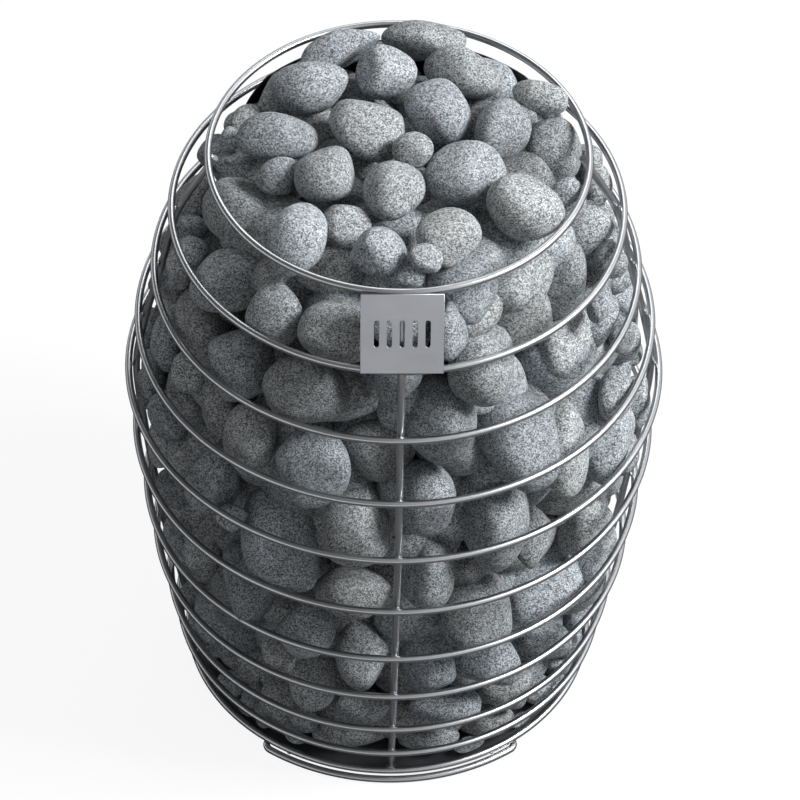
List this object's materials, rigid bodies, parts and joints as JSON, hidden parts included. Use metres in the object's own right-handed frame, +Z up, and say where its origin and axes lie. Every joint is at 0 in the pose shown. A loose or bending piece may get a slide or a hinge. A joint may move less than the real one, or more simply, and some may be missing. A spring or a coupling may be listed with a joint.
{
  "type": "sauna heater stove",
  "caption": "Egg-shaped electric sauna heater: an open cage of welded wire rings on wire foot loops, filled with rounded stones round tubular heating elements, with a plain front plate.",
  "frame": {"origin": "on the floor, under the centre of the cage", "axes": "+Z up, -Y towards the front plate, +X to the right seen from the front"},
  "size_m": [0.44, 0.44, 0.595],
  "materials": {
    "cage_wire": "drawn stainless wire, satin",
    "plate_steel": "flat stainless sheet, fine satin",
    "shield_steel": "heat-dulled stainless sheet",
    "sheet_steel": "mill-finish stainless sheet",
    "fastener_steel": "plain stainless fastener",
    "element_sheath": "heat-browned tubular element sheath",
    "terminal_ceramic": "unglazed steatite",
    "gland_plastic": "moulded nylon",
    "granite_stone": "tumbled speckled grey stone"
  },
  "bodies": {
    "heater": {"cage_ring_01": "cage_wire", "cage_ring_02": "cage_wire", "cage_ring_03": "cage_wire", "cage_ring_04": "cage_wire", "cage_ring_05": "cage_wire", "cage_ring_06": "cage_wire", "cage_ring_07": "cage_wire", "cage_ring_08": "cage_wire", "cage_ring_09": "cage_wire", "cage_ring_10": "cage_wire", "cage_ring_11": "cage_wire", "upright_front": "cage_wire", "upright_right": "cage_wire", "upright_rear": "cage_wire", "upright_left": "cage_wire", "foot_loop_front": "cage_wire", "foot_loop_rear": "cage_wire", "front_plate": "plate_steel", "rear_heat_shield": "shield_steel", "base_plate": "sheet_steel", "connection_box": "sheet_steel", "box_screw_1": "fastener_steel", "box_screw_2": "fastener_steel", "box_screw_3": "fastener_steel", "box_screw_4": "fastener_steel", "earth_stud": "fastener_steel", "element_flange_1": "fastener_steel", "element_flange_2": "fastener_steel", "element_flange_3": "fastener_steel", "heating_element_1": "element_sheath", "heating_element_2": "element_sheath", "heating_element_3": "element_sheath", "terminal_block": "terminal_ceramic", "cable_gland": "gland_plastic", "gland_nut": "gland_plastic", "stone_course_1": "granite_stone", "stone_course_2": "granite_stone", "stone_course_3": "granite_stone", "stone_course_4": "granite_stone", "stone_course_5": "granite_stone", "stone_course_6": "granite_stone", "stone_course_7": "granite_stone", "stone_course_8": "granite_stone", "stone_bed": "granite_stone"},
    "crown_stone_01": {"crown_stone_01": "granite_stone"},
    "crown_stone_02": {"crown_stone_02": "granite_stone"},
    "crown_stone_03": {"crown_stone_03": "granite_stone"},
    "crown_stone_04": {"crown_stone_04": "granite_stone"},
    "crown_stone_05": {"crown_stone_05": "granite_stone"},
    "crown_stone_06": {"crown_stone_06": "granite_stone"},
    "crown_stone_07": {"crown_stone_07": "granite_stone"},
    "crown_stone_08": {"crown_stone_08": "granite_stone"},
    "crown_stone_09": {"crown_stone_09": "granite_stone"},
    "crown_stone_10": {"crown_stone_10": "granite_stone"},
    "crown_stone_11": {"crown_stone_11": "granite_stone"},
    "crown_stone_12": {"crown_stone_12": "granite_stone"}
  },
  "joints": [
    {"name": "crown_stone_01_lift", "type": "slide", "parent": "heater", "child": "crown_stone_01", "axis": [0, 0, 1], "range_m": [0, 0.22]},
    {"name": "crown_stone_02_lift", "type": "slide", "parent": "heater", "child": "crown_stone_02", "axis": [0, 0, 1], "range_m": [0, 0.22]},
    {"name": "crown_stone_03_lift", "type": "slide", "parent": "heater", "child": "crown_stone_03", "axis": [0, 0, 1], "range_m": [0, 0.22]},
    {"name": "crown_stone_04_lift", "type": "slide", "parent": "heater", "child": "crown_stone_04", "axis": [0, 0, 1], "range_m": [0, 0.22]},
    {"name": "crown_stone_05_lift", "type": "slide", "parent": "heater", "child": "crown_stone_05", "axis": [0, 0, 1], "range_m": [0, 0.22]},
    {"name": "crown_stone_06_lift", "type": "slide", "parent": "heater", "child": "crown_stone_06", "axis": [0, 0, 1], "range_m": [0, 0.22]},
    {"name": "crown_stone_07_lift", "type": "slide", "parent": "heater", "child": "crown_stone_07", "axis": [0, 0, 1], "range_m": [0, 0.22]},
    {"name": "crown_stone_08_lift", "type": "slide", "parent": "heater", "child": "crown_stone_08", "axis": [0, 0, 1], "range_m": [0, 0.22]},
    {"name": "crown_stone_09_lift", "type": "slide", "parent": "heater", "child": "crown_stone_09", "axis": [0, 0, 1], "range_m": [0, 0.22]},
    {"name": "crown_stone_10_lift", "type": "slide", "parent": "heater", "child": "crown_stone_10", "axis": [0, 0, 1], "range_m": [0, 0.22]},
    {"name": "crown_stone_11_lift", "type": "slide", "parent": "heater", "child": "crown_stone_11", "axis": [0, 0, 1], "range_m": [0, 0.22]},
    {"name": "crown_stone_12_lift", "type": "slide", "parent": "heater", "child": "crown_stone_12", "axis": [0, 0, 1], "range_m": [0, 0.22]}
  ]
}
